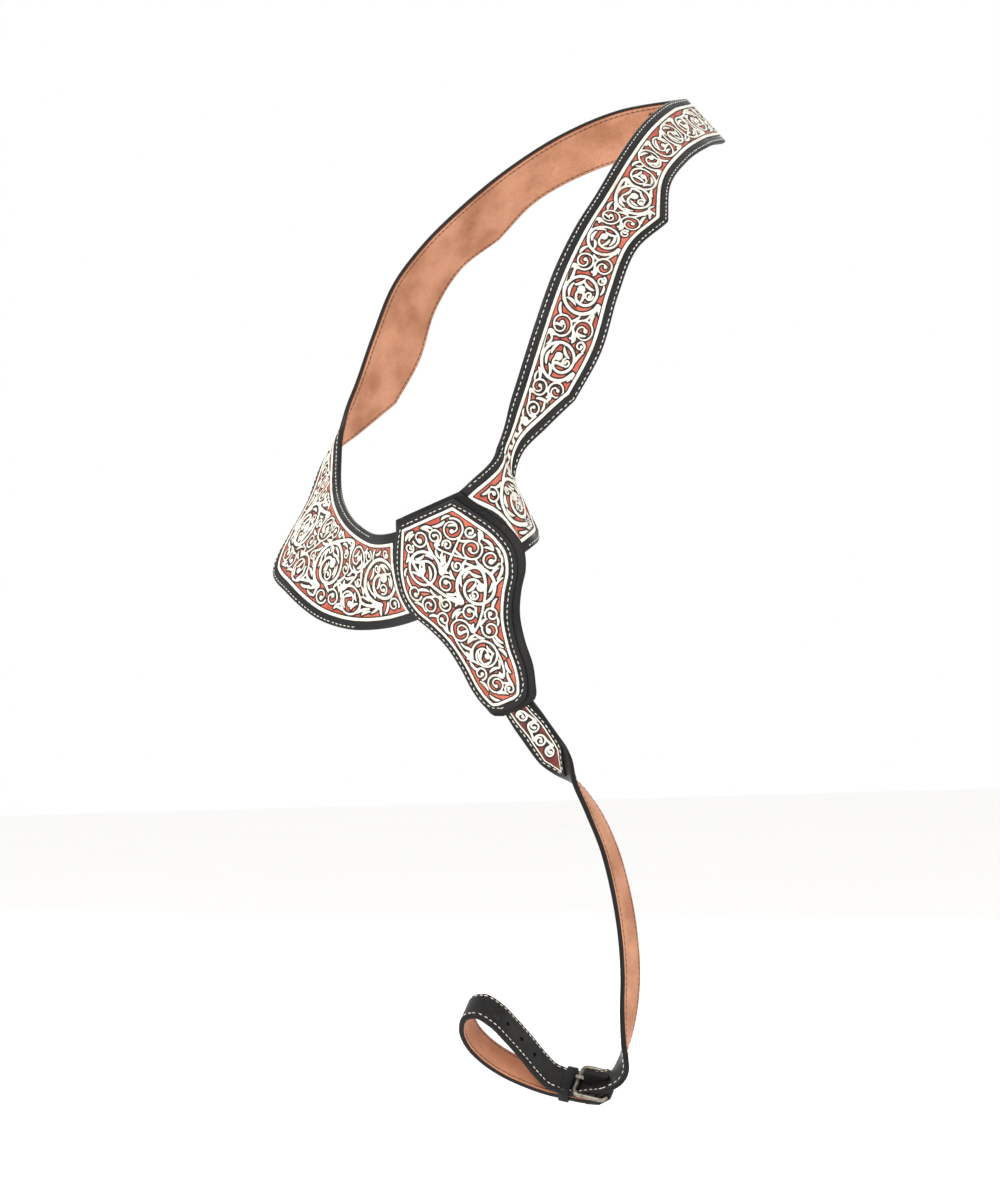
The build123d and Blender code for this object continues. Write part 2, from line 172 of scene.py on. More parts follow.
def collarFrame(where):
    inner, outer = collarEdges(where)
    width = np.linalg.norm(outer - inner)
    across = (outer - inner) / width
    middle = [sum(collarEdges(where + s)) / 2 for s in (-0.02, 0.02)]
    return inner, across, width, unit(np.cross(across, middle[1] - middle[0]))


def evenPlaces(point, start, end, spacing, keep=()):  # places at equal steps of length
    marks = np.linspace(start, end, int((end - start) * 60) + 2)
    points = np.array([point(w) for w in marks])
    length = np.concatenate([[0], np.cumsum(np.linalg.norm(np.diff(points, axis=0), axis=1))])
    places = np.interp(np.linspace(0, length[-1], int(length[-1] / spacing) + 1), length, marks)
    return np.unique(np.concatenate([places, [k for k in keep if start < k < end]])), (marks, length)


# strap surface, as in the CAD
loopAxis = unit(laid(-0.30, -0.62, 0.725))
buckleCentre, buckleAcross = laid(-101.0, -849.0, 252.0), loopAxis
level = laid(0.978, -0.208, 0.227)
buckleAlong = unit(level - np.dot(level, loopAxis) * loopAxis)
buckleOut = np.cross(buckleAcross, buckleAlong)
heel, strapHalf = buckle["length"] / 2, (strap["face"] + strap["lining"]) / 2
overHeel = buckle["wire"] / 2 + buckle["chape"] + 0.2 + strapHalf + buckle["clearance"]
underEnd = -(buckle["wire"] / 2 + strapHalf + buckle["clearance"])
underRun = underEnd - 2 * strapHalf - 2 * buckle["clearance"]


def atBuckle(along, out, across=0.0):
    return buckleCentre + along * buckleAlong + out * buckleOut + across * buckleAcross


hangRows = [((-152, -545, 251), (0.809, 0.588, 0.0)), ((-139, -563, 249), (0.78, 0.58, 0.22)),
            ((-129, -575, 249), (0.56, 0.40, 0.72)), ((-119, -588, 250), (0.05, 0.05, 1.0)),
            ((-104, -612, 252), (-0.34, 0.0, 0.94)), ((-89, -645, 253), (-0.45, 0.0, 0.89)),
            ((-79, -681, 253), (-0.50, 0.0, 0.87)), ((-72.5, -719, 252), (-0.52, 0.0, 0.86)),
            ((-70, -755, 252), (-0.52, 0.0, 0.86)), ((-71.5, -787, 252), (-0.44, 0.0, 0.90)),
            ((-74, -812, 253), (-0.18, 0.0, 0.98)), ((-77, -830, 255), (0.12, -0.10, 0.98)),
            ((-82, -840.5, 259.5), (0.0, -0.55, 0.83))]
loopRows = [(heel - 2, overHeel), (0, (overHeel + underEnd) / 2), (-heel, underEnd), (-heel - 14, underEnd),
            (-38, -2.5), (-48, 7), (-61, 24), (-76, 42), (-90, 56), (-103, 62), (-112.5, 57), (-116, 42),
            (-110.5, 24), (-98, 10), (-80, -1), (-60, -7.5), (-38, underRun), (-heel - 11, underRun),
            (-heel, underRun), (-heel + 12, underRun + 1.2), (-heel + 20, underRun + 3.4)]
strapRows = [(laid(*p), laid(*w)) for p, w in hangRows] + [(atBuckle(*p), loopAxis) for p in loopRows]
bendPoint, bendAxis = strapRows[0][0], unit(strapRows[0][1])
strapMiddle = Rail([row[0] for row in strapRows])
strapAcross = Rail([row[1] for row in strapRows], knots=strapMiddle.knots)


def behind(side, up, off):
    outward = 252.0
    for _ in range(6):
        offset = laid(side, up, outward) - shieldTop
        across, flat = np.dot(offset, shieldAcross), np.dot(offset, shieldOut)
        outward += (off - flat - across ** 2 / (2 * shield["bow"])) / np.dot(outWay, shieldOut)
    return laid(side, up, outward)


anchorOff = shield["off"] - 0.15 - strapHalf - 0.95
anchorSpots = ((-193, -479), (-182, -499), (-171, -517), (-162.5, -530))
anchorPoints = [behind(side, up, anchorOff) for side, up in anchorSpots]
anchorPoints.append(bendPoint)
anchorMiddle = Rail(anchorPoints + [2 * bendPoint - anchorPoints[-2]])
anchorWays = [unit(np.cross(anchorPoints[i + 1] - anchorPoints[i], shieldOut)) for i in range(3)]
anchorWays = [w * np.sign(np.dot(w, bendAxis)) for w in anchorWays]
anchorWays += [unit(0.75 * anchorWays[-1] + 0.25 * bendAxis), bendAxis, bendAxis]
anchorAcross = Rail(anchorWays, knots=anchorMiddle.knots)


def alongStrap(where):  # -4..0 behind and below the shield, then one unit per strap row
    if where < 0:
        return anchorMiddle.at(where + 4), anchorAcross.at(where + 4)
    return strapMiddle.at(where), strapAcross.at(where)


def strapFrame(where):
    low, high = max(where - 0.03, -4.0), min(where + 0.03, len(strapRows) - 1.0)
    along = unit(alongStrap(high)[0] - alongStrap(low)[0])
    middle, across = alongStrap(where)
    across = unit(across - np.dot(across, along) * along)
    return middle, across, unit(np.cross(along, across))


leastStroke, strokeShare = 0.95, 0.085  # half width of the vine: mm, and as a share of its ring


# carved line work: strokes are (points, radii) in flat mm, s along and t across
def spiral(centre, radius, hand, start, turns=1.6, stroke=strokeShare, bud=0.2):
    phi = np.linspace(0, turns * 2 * math.pi, 100)
    f = phi / phi[-1]
    fat = max(stroke * radius, leastStroke)
    reach = (radius - fat) * (1 - 0.74 * smoothStep((f - 0.3) / 0.72))
    points = np.stack([centre[0] + reach * np.cos(start + hand * phi),
                       centre[1] + reach * np.sin(start + hand * phi)], 1)
    return [(points, fat * (1.0 - 0.3 * f)), (points[-1:], np.array([max(bud * radius, 1.5)]))]


def bridge(a, ta, b, tb, ra, rb, count=40):  # curve between two points with tangents
    u = np.linspace(0, 1, count)[:, None]
    size = np.linalg.norm(np.subtract(b, a)) * 1.1
    points = ((2 * u ** 3 - 3 * u ** 2 + 1) * a + (u ** 3 - 2 * u ** 2 + u) * np.multiply(ta, size)
              + (3 * u ** 2 - 2 * u ** 3) * b + (u ** 3 - u ** 2) * np.multiply(tb, size))
    return points, np.linspace(ra, rb, count)


def leaf(base, angle, length, curl, fat):
    u = np.linspace(0, 1, 24)
    heading = angle + curl * u
    step = length / 24
    points = np.stack([base[0] + np.cumsum(np.cos(heading)) * step,
                       base[1] + np.cumsum(np.sin(heading)) * step], 1)
    return points, fat * np.sin(math.pi * np.clip(u * 0.86 + 0.10, 0, 1)) ** 0.8 + 0.12


def vineStrokes(volutes):  # (s, t, radius, hand) in order along the vine
    strokes, previous = [], None
    for i, (s, t, radius, hand) in enumerate(volutes):
        centre = np.array([s, t], float)
        other = volutes[i - 1] if i else volutes[min(1, len(volutes) - 1)]
        toward = math.atan2(other[1] - t, other[0] - s + 1e-6) + (0 if i else math.pi)
        start = toward - hand * 0.9
        ring = spiral(centre, radius, hand, start)
        strokes += ring
        turn = ring[0][0]
        head = turn[0]
        heading = np.array([-math.sin(start), math.cos(start)]) * hand
        if previous is not None:
            point, along, size = previous
            widths = [max(strokeShare * r, leastStroke) for r in (size, radius)]
            strokes.append(bridge(point, along, head, heading, *widths))
            base = head - heading * 1.5
            for spread in (-0.55, 0.0, 0.55):  # leaf trio where the vine branches
                a = math.atan2(heading[1], heading[0]) + hand * (-0.9 + spread)
                strokes.append(leaf(base, a, radius * (0.5 if spread else 0.62),
                                    hand * 0.8 * (spread or 0.3), 1.25))
        previous = (turn[22], unit(turn[23] - turn[22]), radius)
    return strokes


def chain(widthAt, margin, first, last):  # rings that fill the band, big ones and pairs by turns
    pairRoom, most, least, gap = 31, 23.0, 2.2, 1.2
    roomAt = lambda v: widthAt(v) - 2 * margin
    volutes, s, hand, big = [], first, 1, True
    while s < last:
        room = roomAt(s)
        guess = 0.5 * room if big or room < pairRoom else 0.25 * room
        s += min(max(guess, 2.6), most)
        room = roomAt(s)
        middle = widthAt(s) / 2
        if big or room < pairRoom:
            radius = min(max(min(0.5 * room, 0.5 * roomAt(s - 8), 0.5 * roomAt(s + 8)), least), most)
            volutes.append((s, middle, radius, hand))
        else:
            radius = min(0.25 * room, 14.0)
            volutes.append((s, middle - room / 2 + radius, radius, hand))
            volutes.append((s + 1.5, middle + room / 2 - radius, radius, -hand))
        s += radius + gap
        hand, big = -hand, not big
    return volutes


def strokeField(s, t, strokes, reach=6.0):  # signed distance in mm to the line work
    field = np.full(s.shape, reach)
    for points, radii in strokes:
        low, high = points.min(0) - reach - radii.max(), points.max(0) + reach + radii.max()
        mask = (s > low[0]) & (s < high[0]) & (t > low[1]) & (t < high[1])
        if not mask.any():
            continue
        ds = s[mask][:, None] - points[None, :, 0]
        dt = t[mask][:, None] - points[None, :, 1]
        field[mask] = np.minimum(field[mask], (np.sqrt(ds * ds + dt * dt) - radii).min(1))
    return field


def fillGround(strokes, s, t, room, seed):  # curls, then leaves, in the largest gaps left
    rng = np.random.default_rng(seed)
    s, t = s[::2, ::2].ravel(), t[::2, ::2].ravel()
    free = np.minimum(strokeField(s, t, strokes, 14.0), room[::2, ::2].ravel())
    added = []
    for smallest in (4.4, 1.75):
        for _ in range(500):
            k = free.argmax()
            r = min(free[k] - 0.5, 8.0)
            if r < smallest:
                break
            if smallest > 4:
                new = spiral((s[k], t[k]), r, rng.choice([-1, 1]), rng.uniform(0, 6.28), 1.2, 0.12, 0.3)
            else:
                long, best = 5.0 + 2.2 * r, (-1, 0)
                near = np.flatnonzero(np.hypot(s - s[k], t - t[k]) < long)
                for a in np.linspace(0, math.pi, 9)[:-1]:
                    ends = [(s[k] + e * long * math.cos(a), t[k] + e * long * math.sin(a))
                            for e in (-0.5, -0.3, 0.3, 0.5)]
                    score = min(free[near[np.hypot(s[near] - x, t[near] - y).argmin()]] for x, y in ends)
                    best = max(best, (score, a))
                a = best[1] + (math.pi if rng.random() < 0.5 else 0)
                base = (s[k] - 0.5 * long * math.cos(a), t[k] - 0.5 * long * math.sin(a))
                new = [leaf(base, a - 0.5, long, 1.0, min(1.3, 0.45 * r + 0.15))]
            free = np.minimum(free, strokeField(s, t, new, 14.0))
            added += new
    return added


# meshes
def gridMesh(name, top, base, rim, vine, flat, smoothAngle=0.9):
    rows, cols = top.shape[:2]
    verts = np.concatenate([top.reshape(-1, 3), base.reshape(-1, 3)]) / 1000
    index = np.arange(rows * cols).reshape(rows, cols)
    below = rows * cols + np.arange(rows * 2).reshape(rows, 2)
    quads = (index[:-1, :-1], index[1:, :-1], index[1:, 1:], index[:-1, 1:])
    faces = np.stack(quads, -1).reshape(-1, 4).tolist()
    for j, k in ((0, 0), (cols - 1, 1)):
        faces += np.stack([index[:-1, j], below[:-1, k], below[1:, k], index[1:, j]], -1).tolist()
    faces += np.stack([below[:-1, 0], below[:-1, 1], below[1:, 1], below[1:, 0]], -1).tolist()
    for i in (0, rows - 1):
        faces.append(index[i].tolist() + [int(below[i, 1]), int(below[i, 0])])
    mesh = bpy.data.meshes.new(name)
    mesh.from_pydata(verts.tolist(), [], faces)
    edgeFlat = np.stack([flat[:, 0], flat[:, -1]], 1)
    for label, values in (("rim", rim), ("vine", vine)):
        data = np.concatenate([values.reshape(-1), np.full(rows * 2, 0.0 if label == "rim" else 6.0)])
        mesh.attributes.new(label, "FLOAT", "POINT").data.foreach_set("value", data.astype(np.float32))
    across = np.concatenate([flat.reshape(-1, 2), edgeFlat.reshape(-1, 2)])
    across = np.concatenate([across, np.zeros((len(across), 1))], 1)
    place = mesh.attributes.new("flat", "FLOAT_VECTOR", "POINT")
    place.data.foreach_set("vector", across.astype(np.float32).ravel())
    return finishMesh(name, mesh, smoothAngle)


def finishMesh(name, mesh, smoothAngle=0.9):
    work = bmesh.new()
    work.from_mesh(mesh)
    bmesh.ops.remove_doubles(work, verts=work.verts, dist=1e-6)
    bmesh.ops.recalc_face_normals(work, faces=work.faces)
    work.to_mesh(mesh)
    work.free()
    mesh.polygons.foreach_set("use_smooth", [True] * len(mesh.polygons))
    mesh.set_sharp_from_angle(angle=smoothAngle)
    return linked(bpy.data.objects.new(name, mesh))


def columns(width, step):  # lines across a panel, closer together at its rounded edges
    edge = np.array([0, 0.25, 0.6, 1.1, 1.8])
    count = max(2, int(round((np.max(width) - 3.6) / step)))
    middle = np.linspace(0, 1, count + 1)[1:-1]
    width = np.asarray(width, float)[:, None]
    parts = [np.tile(edge, (len(width), 1)), 1.8 + middle * (width - 3.6), width - edge[::-1]]
    return np.concatenate(parts, 1)


def roundEdge(rim, drop=1.0, size=1.4):
    return -drop * (1 - np.clip(rim / size, 0, 1)) ** 2.2


def carvedHeight(rim, vine, style):
    bead = (rim - style["border"] - style["groove"]) / style["bead"]
    field = rim - style["border"] - style["bead"] - 2 * style["groove"]
    height = style["relief"] * smoothStep(-vine / 1.1 + 0.15) * smoothStep(field / 0.6)
    height += 0.9 * style["relief"] * np.sqrt(np.clip(1 - (2 * bead - 1) ** 2, 0, 1))
    height -= 0.45 * smoothStep(field / 1.0)
    grooves = np.exp(-((rim - style["border"]) / 0.5) ** 2) + np.exp(-((field + 0.3) / 0.5) ** 2)
    return height - 0.45 * grooves


def beyondShield(points):  # distance from the shield's stitched outline, less than 0 under it
    offset = points - shieldTop
    u, d, off = (offset @ axis for axis in (shieldAcross, shieldDown, shieldOut))
    curve = Rail([(a, b, 0) for a, b in shield["profile"]])
    side = np.array([curve.at(w) for w in np.linspace(0, len(shield["profile"]) - 1, 160)])
    edge = np.concatenate([side, side * (1, -1, 1), [(0, x, 0) for x in np.linspace(-27, 27, 30)]])
    ring = shieldPoint(edge[:, 1], edge[:, 0], 0.0)
    near = np.concatenate([np.linalg.norm(block[:, None] - ring[None], axis=2).min(1)
                           for block in np.array_split(points.reshape(-1, 3), 200)]).reshape(u.shape)
    inside = (np.abs(u) < np.interp(d, side[:, 0], side[:, 1])) & (d > 0) & (d < 178) & (np.abs(off) < 22)
    return np.where(inside, -near, near)


def collarPanel(name, start, end, low, high, inset, carved=False, seed=3):
    spacing = collar["spacing"] if carved else 4.0
    places, (marks, length) = evenPlaces(lambda w: sum(collarEdges(w)) / 2, start, end, spacing,
                                         (7.0, 11.0, 19.0, 23.0))
    frames = [collarFrame(w) for w in places]
    inner, across, width, outward = (np.array([f[i] for f in frames]) for i in range(4))
    inner, width = inner + across * inset, width - 2 * inset
    s = np.interp(places, marks, length)
    t = columns(width, spacing)
    rim = np.minimum(t, width[:, None] - t)
    for shift in range(-16, 17):  # true distance to both scalloped edges
        k = np.clip(np.arange(len(s)) + shift, 0, len(s) - 1)
        gap = (s[k] - s)[:, None]
        rim = np.minimum(rim, np.minimum(np.hypot(gap, width[k][:, None] - t), np.hypot(gap, t)))
    grid = np.repeat(s[:, None], t.shape[1], 1)
    if carved:
        flatPoints = inner[:, None] + across[:, None] * t[..., None]
        seam = s[-1] if start == 0 else 0.0
        rim = np.minimum(np.minimum(rim, np.abs(grid - seam)), beyondShield(flatPoints) + 0.5)
        rim = np.maximum(rim, 0.0)
        clearance = collar["border"] + collar["bead"] + 2 * collar["groove"] + 0.2
        widthAt = lambda v: float(np.interp(v, s, width))
        middleRim = beyondShield(inner + across * (width / 2)[:, None])
        clearSpan = s[middleRim > clearance]
        strokes = vineStrokes(chain(widthAt, clearance, clearSpan[0] + (0 if start == 0 else clearance),
                                    clearSpan[-1] - (6 if start else clearance + 6)))
        strokes += fillGround(strokes, grid, t, rim - clearance, seed)
        vine = strokeField(grid, t, strokes)
        height = high + carvedHeight(rim, vine, collar) + roundEdge(np.minimum(t, width[:, None] - t))
    else:
        vine = np.full(t.shape, 6.0)
        height = high - roundEdge(rim, 0.7) if low > high else high + roundEdge(rim, 0.7)
    top = inner[:, None] + across[:, None] * t[..., None] + outward[:, None] * height[..., None]
    base = np.stack([inner, inner + across * width[:, None]], 1) + outward[:, None] * low
    obj = gridMesh(name, top, base, rim, vine, np.stack([grid, t], -1))
    return obj, (places, s, inner, across, width, outward)


def shieldPanel(name, low, high, margin, shift, top=None, bottom=None, strokes=None, style=None):
    rows = [(d - (margin if i == 0 else 0) + (margin if d > 170 else 0), h + margin)
            for i, (d, h) in enumerate(shield["profile"])]
    curve = Rail([(d, h, 0) for d, h in rows])
    fine = np.array([curve.at(w) for w in np.linspace(0, len(rows) - 1, 400)])
    first, last = (rows[0][0], rows[-1][0]) if top is None else (top, bottom)
    downs = np.arange(first, last, 0.9 if strokes else 3.0)
    downs = np.append(downs, last)
    order = np.argsort(fine[:, 0])
    half = np.interp(downs, fine[order, 0], fine[order, 1])
    t = columns(2 * half, 0.9 if strokes else 6.0)
    u, d = t - half[:, None], np.repeat(downs[:, None], t.shape[1], 1)
    dense = np.interp(np.linspace(first, last, 500), fine[order, 0], fine[order, 1])
    side = np.stack([dense, np.linspace(first, last, 500)], 1)
    cap = np.linspace(-1, 1, 60)
    outline = np.concatenate([side, side * (-1, 1), np.stack([cap * dense[0], np.full(60, first)], 1),
                              np.stack([cap * dense[-1], np.full(60, last)], 1)])
    flat = np.stack([u, d], -1).reshape(-1, 2)
    rim = np.concatenate([np.hypot(*(block[:, None] - outline[None]).transpose(2, 0, 1)).min(1)
                          for block in np.array_split(flat, 40)]).reshape(u.shape)
    vine = np.full(u.shape, 6.0)
    height = high + roundEdge(rim, 1.0 if high > low else -1.0)
    if strokes:
        clearance = style["border"] + style["bead"] + 2 * style["groove"] + 0.2
        strokes = strokes + fillGround(strokes, u, d, rim - clearance, 11)
        vine = strokeField(u, d, strokes)
        height = height + carvedHeight(rim, vine, style)
    topPoints = shieldPoint(u + shift, d, height)
    base = shieldPoint(np.stack([-half, half], 1) + shift, np.stack([downs, downs], 1), low)
    return gridMesh(name, topPoints, base, rim, vine, np.stack([u + 300, d], -1))


def strapPanel(name, start, end, low, high, half, spacing=1.6, point=0.0, strokes=None, style=None, keep=()):
    places, (marks, length) = evenPlaces(lambda w: alongStrap(w)[0], start, end, spacing, keep)
    frames = [strapFrame(w) for w in places]
    middle, across, grain = (np.array([f[i] for f in frames]) for i in range(3))
    s = np.interp(places, marks, length)
    width = np.full(len(s), 2.0 * half)
    if point:  # cut to a point at its free end
        width = 2 * half * np.clip((s[-1] - s) / point, 0.04, 1) ** 0.75
    t = columns(width, 2.2 if not strokes else 0.9)
    t = np.clip(t, 0, width[:, None])
    rim = np.minimum(t, width[:, None] - t)
    rim = np.minimum(rim, np.minimum(s, s[-1] - s)[:, None]) if not point else rim
    grid = np.repeat(s[:, None], t.shape[1], 1)
    vine = np.full(t.shape, 6.0)
    height = high + roundEdge(rim, 0.8 if high > low else -0.8, 1.2)
    u = t - width[:, None] / 2
    if strokes:
        vine = strokeField(grid, u, strokes)
        height = height + carvedHeight(rim, vine, style)
    top = middle[:, None] + across[:, None] * u[..., None] + grain[:, None] * height[..., None]
    reach = across * width[:, None] / 2
    base = np.stack([middle - reach, middle + reach], 1) + grain[:, None] * low
    obj = gridMesh(name, top, base, rim, vine, np.stack([grid, t + 100], -1))
    return obj, (s, middle, across, grain, width)


def sweepBand(name, path, normals, ways, half, thickness, closed):  # leather band along a path of points
    path, normals, ways = (np.array(v, float) for v in (path, normals, ways))
    profile = [(-half + 0.5, 0), (-half, 0.4), (-half, thickness - 0.5), (-half + 0.6, thickness),
               (half - 0.6, thickness), (half, thickness - 0.5), (half, 0.4), (half - 0.5, 0)]
    rings = np.array([path + ways * a + normals * b for a, b in profile]).transpose(1, 0, 2) / 1000
    count, size = rings.shape[:2]
    faces = []
    for i in range(count if closed else count - 1):
        j = (i + 1) % count
        faces += [(i * size + k, j * size + k, j * size + (k + 1) % size, i * size + (k + 1) % size)
                  for k in range(size)]
    if not closed:
        faces += [tuple(range(size)), tuple((count - 1) * size + k for k in range(size))]
    mesh = bpy.data.meshes.new(name)
    mesh.from_pydata(rings.reshape(-1, 3).tolist(), [], faces)
    return finishMesh(name, mesh, 0.7)


def cutAway(obj, cutters):  # real holes, left as plain mesh
    for cutter in cutters:
        mod = obj.modifiers.new("cut", "BOOLEAN")
        mod.object, mod.solver = cutter, "EXACT"
    mesh = bpy.data.meshes.new_from_object(obj.evaluated_get(bpy.context.evaluated_depsgraph_get()))
    obj.modifiers.clear()
    obj.data = mesh
    obj.data.set_sharp_from_angle(angle=0.9)


def cutterBox(centre, axes, size):
    mesh = bpy.data.meshes.new("cutter")
    corners = [[a, b, c] for a in (-.5, .5) for b in (-.5, .5) for c in (-.5, .5)]
    verts = [(centre + sum(axes[i] * corner[i] * size[i] for i in range(3))) / 1000 for corner in corners]
    faces = [(0, 1, 3, 2), (4, 6, 7, 5), (0, 4, 5, 1), (2, 3, 7, 6), (0, 2, 6, 4), (1, 5, 7, 3)]
    mesh.from_pydata(verts, [], faces)
    return finishMesh("cutter", mesh)


def cutterRod(centre, axis, radius, long):
    side = unit(np.cross(axis, upWay + 0.3 * sideWay))
    other = np.cross(axis, side)
    turn = np.linspace(0, 2 * math.pi, 24, endpoint=False)
    ring = [side * math.cos(a) * radius + other * math.sin(a) * radius for a in turn]
    verts = [(centre + r + axis * z) / 1000 for z in (-long / 2, long / 2) for r in ring]
    faces = [(i, (i + 1) % 24, 24 + (i + 1) % 24, 24 + i) for i in range(24)]
    mesh = bpy.data.meshes.new("cutter")
    mesh.from_pydata(verts, [], faces + [tuple(range(24)), tuple(range(24, 48))])
    return finishMesh("cutter", mesh)


# stitches: one tree puts a stitch on every point
def stitchTree():
    tree = bpy.data.node_groups.new("stitchRow", "GeometryNodeTree")
    face = tree.interface
    face.new_socket("Geometry", in_out="INPUT", socket_type="NodeSocketGeometry")
    for label, value in (("Stitch Length", 3.5), ("Stitch Thickness", 0.9)):
        face.new_socket(label, in_out="INPUT", socket_type="NodeSocketFloat").default_value = value
    face.new_socket("Seed", in_out="INPUT", socket_type="NodeSocketInt").default_value = thread["seed"]
    face.new_socket("Thread", in_out="INPUT", socket_type="NodeSocketMaterial")
    face.new_socket("Geometry", in_out="OUTPUT", socket_type="NodeSocketGeometry")
    source = addNode(tree, "NodeGroupInput")
    named = lambda label: addNode(tree, "GeometryNodeInputNamedAttribute", {"data_type": "FLOAT_VECTOR"},
                                  {"Name": label}).outputs[0]
    turnX = addNode(tree, "FunctionNodeAlignRotationToVector", {"axis": "X"}, {"Vector": named("along")})
    turnZ = addNode(tree, "FunctionNodeAlignRotationToVector", {"axis": "Z", "pivot_axis": "X"},
                    {"Rotation": turnX.outputs[0], "Vector": named("out")})
    jitter = addNode(tree, "FunctionNodeRandomValue", {"data_type": "FLOAT_VECTOR"},
                     {0: (-0.05, -0.05, -0.13), 1: (0.05, 0.05, 0.13), "Seed": source.outputs["Seed"]})
    turned = addNode(tree, "FunctionNodeRotateRotation", {"rotation_space": "LOCAL"},
                     {"Rotation": turnZ.outputs[0], "Rotate By": jitter.outputs[0]})
    scale = addNode(tree, "ShaderNodeCombineXYZ", {}, {"X": source.outputs["Stitch Length"],
                    "Y": source.outputs["Stitch Thickness"], "Z": source.outputs["Stitch Thickness"]})
    ball = addNode(tree, "GeometryNodeMeshUVSphere", {}, {"Segments": 8, "Rings": 6, "Radius": 0.5})
    placed = addNode(tree, "GeometryNodeInstanceOnPoints", {},
                     {"Points": source.outputs["Geometry"], "Instance": ball.outputs["Mesh"],
                      "Rotation": turned.outputs[0], "Scale": scale.outputs[0]})
    real = addNode(tree, "GeometryNodeRealizeInstances", {}, {"Geometry": placed.outputs[0]})
    smooth = addNode(tree, "GeometryNodeSetShadeSmooth", {}, {"Geometry": real.outputs[0]})
    painted = addNode(tree, "GeometryNodeSetMaterial", {},
                      {"Geometry": smooth.outputs[0], "Material": source.outputs["Thread"]})
    addNode(tree, "NodeGroupOutput", {}, {"Geometry": painted.outputs[0]})
    return tree


def addNode(tree, kind, settings=None, links=None):
    item = tree.nodes.new(kind)
    for key, value in (settings or {}).items():
        setattr(item, key, value)
    for key, value in (links or {}).items():
        socket = item.inputs[key]
        if isinstance(value, bpy.types.NodeSocket):
            tree.links.new(value, socket)
        else:
            socket.default_value = value
    return item


def stitchPath(points, outward):  # keep one place every pitch
    points = np.array(points)
    length = np.concatenate([[0], np.cumsum(np.linalg.norm(np.diff(points, axis=0), axis=1))])
    wanted = np.arange(thread["pitch"] / 2, length[-1] - 1, thread["pitch"])
    pick = np.clip(np.searchsorted(length, wanted), 1, len(points) - 2)
    return [(points[i], unit(points[i + 1] - points[i - 1]), outward[i]) for i in pick]


def sewRow(name, places, material, length=None, thickness=None):
    mesh = bpy.data.meshes.new(name)
    mesh.from_pydata([tuple(p / 1000) for p, _, _ in places], [], [])
    for label, k in (("along", 1), ("out", 2)):
        data = np.array([p[k] for p in places], np.float32).ravel()
        mesh.attributes.new(label, "FLOAT_VECTOR", "POINT").data.foreach_set("vector", data)
    seed = linked(bpy.data.objects.new(name, mesh))
    mod = seed.modifiers.new("sew", "NODES")
    mod.node_group = stitches
    values = {"Stitch Length": (length or thread["length"]) / 1000, "Thread": material,
              "Stitch Thickness": (thickness or thread["thickness"]) / 1000, "Seed": thread["seed"]}
    for item in stitches.interface.items_tree:
        if item.name in values and item.in_out == "INPUT":
            mod[item.identifier] = values[item.name]
    made = bpy.data.meshes.new_from_object(seed.evaluated_get(bpy.context.evaluated_depsgraph_get()))
    bpy.data.objects.remove(seed)
    return linked(bpy.data.objects.new(name, made))


# materials
def newMaterial(name):
    material = bpy.data.materials.new(name)
    material.use_nodes = True
    tree = material.node_tree
    tree.nodes.clear()
    shader = addNode(tree, "ShaderNodeBsdfPrincipled")
    addNode(tree, "ShaderNodeOutputMaterial", {}, {"Surface": shader.outputs[0]})
    return material, tree, shader


def mapped(tree, value, low, high, a=0.0, b=1.0):  # smooth step between two values
    return addNode(tree, "ShaderNodeMapRange", {"interpolation_type": "SMOOTHSTEP"},
                   {"Value": value, "From Min": low, "From Max": high, "To Min": a, "To Max": b}).outputs[0]


def mathNode(tree, how, a, b=0.0):
    return addNode(tree, "ShaderNodeMath", {"operation": how}, {0: a, 1: b}).outputs[0]


def mixColour(tree, amount, a, b):
    links = {0: amount}
    for slot, shade in ((6, a), (7, b)):
        links[slot] = linear(shade) if isinstance(shade, str) else shade
    return addNode(tree, "ShaderNodeMix", {"data_type": "RGBA"}, links).outputs[2]


def objectSpace(tree):
    return addNode(tree, "ShaderNodeTexCoord").outputs["Object"]


def noise(tree, size, detail=4.0, vector=None, distortion=0.0):  # size of the pattern in mm
    vector = vector or objectSpace(tree)
    return addNode(tree, "ShaderNodeTexNoise", {},
                   {"Vector": vector, "Scale": 1000.0 / size, "Detail": detail,
                                                    "Distortion": distortion}).outputs[0]


def cells(tree, size, feature="F1"):
    vector = objectSpace(tree)
    return addNode(tree, "ShaderNodeTexVoronoi", {"feature": feature},
                   {"Vector": vector, "Scale": 1000.0 / size}).outputs["Distance"]


def times(tree, a, b):
    return mathNode(tree, "MULTIPLY", a, b)


def attribute(tree, name):
    return addNode(tree, "ShaderNodeAttribute", {"attribute_name": name}).outputs["Fac"]


def bump(tree, shader, layers):  # (height 0..1, depth in mm) from broad to fine
    normal = None
    for height, depth in layers:
        links = {"Height": height, "Distance": depth / 1000, "Strength": 1.0}
        if normal:
            links["Normal"] = normal
        normal = addNode(tree, "ShaderNodeBump", {}, links).outputs[0]
    tree.links.new(normal, shader.inputs["Normal"])


